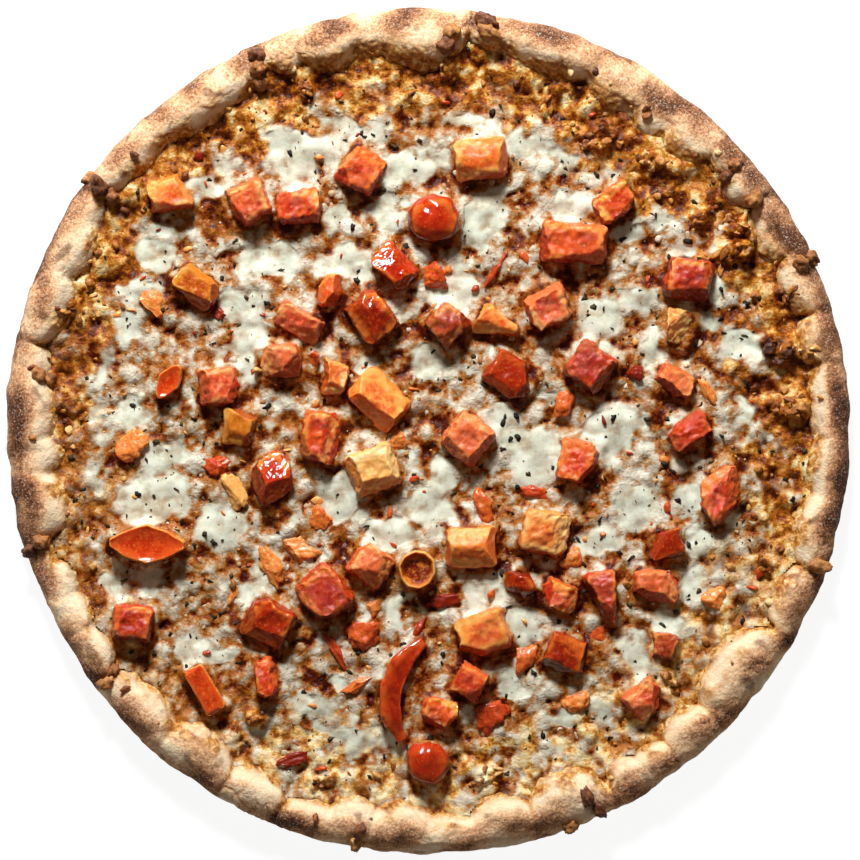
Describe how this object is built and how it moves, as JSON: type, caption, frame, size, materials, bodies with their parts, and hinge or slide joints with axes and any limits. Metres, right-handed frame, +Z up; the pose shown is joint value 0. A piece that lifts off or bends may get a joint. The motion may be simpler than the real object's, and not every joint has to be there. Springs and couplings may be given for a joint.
{
  "type": "white pizza",
  "caption": "Round uncut white pizza: a puffed, lobed crust, melted white cheese with herb flakes, and diced roasted tomato on top.",
  "frame": {"origin": "middle of the crust's flat underside, on the surface that the pizza lies on", "axes": "+Z up, through the topping side; +X and +Y lie in the plane of the pizza, +X to the right and +Y away as seen from above"},
  "size_m": [0.2999, 0.3004, 0.0183],
  "materials": {
    "crust": "matte baked dough, floury and grainy, browned to tan and dark brown on the outer band, cream where the lobes swell inwards",
    "cheese": "melted white cheese, ivory and soft, thin and toasted golden brown towards the rim, with dark herb flakes and oily pits",
    "tomato_red": "moist roasted tomato flesh, red",
    "tomato_orange": "moist roasted tomato flesh, orange",
    "tomato_salmon": "moist roasted tomato flesh, pale salmon",
    "tomato_amber": "roasted tomato, amber and slightly browned",
    "tomato_dark": "glossy deep red tomato with its skin"
  },
  "bodies": {
    "root": {"crust": "crust", "cheese": "cheese", "tomato_01": "tomato_orange", "tomato_02": "tomato_red", "tomato_03": "tomato_red", "tomato_04": "tomato_amber", "tomato_05": "tomato_orange", "tomato_06": "tomato_orange", "tomato_07": "tomato_dark", "tomato_08": "tomato_red", "tomato_09": "tomato_orange", "tomato_10": "tomato_dark", "tomato_11": "tomato_salmon", "tomato_12": "tomato_red", "tomato_13": "tomato_dark", "tomato_14": "tomato_salmon", "tomato_15": "tomato_dark", "tomato_16": "tomato_orange", "tomato_17": "tomato_salmon", "tomato_18": "tomato_dark", "tomato_19": "tomato_orange", "tomato_20": "tomato_orange", "tomato_21": "tomato_red", "tomato_22": "tomato_orange", "tomato_23": "tomato_red", "tomato_24": "tomato_salmon", "tomato_25": "tomato_red", "tomato_26": "tomato_orange", "tomato_27": "tomato_salmon", "tomato_28": "tomato_dark", "tomato_29": "tomato_red", "tomato_30": "tomato_orange", "tomato_31": "tomato_amber", "tomato_32": "tomato_dark", "tomato_33": "tomato_red", "tomato_34": "tomato_red", "tomato_35": "tomato_orange", "tomato_36": "tomato_orange", "tomato_37": "tomato_amber", "tomato_38": "tomato_orange", "tomato_39": "tomato_dark", "tomato_40": "tomato_orange", "tomato_41": "tomato_red", "tomato_42": "tomato_red", "tomato_43": "tomato_dark", "tomato_44": "tomato_dark", "tomato_45": "tomato_red", "tomato_46": "tomato_amber", "tomato_47": "tomato_dark", "tomato_48": "tomato_orange", "tomato_49": "tomato_orange", "tomato_50": "tomato_red", "tomato_51": "tomato_salmon", "tomato_52": "tomato_red", "tomato_53": "tomato_orange", "tomato_54": "tomato_dark", "tomato_55": "tomato_red", "tomato_56": "tomato_dark", "tomato_57": "tomato_dark", "tomato_58": "tomato_salmon"}
  },
  "joints": []
}
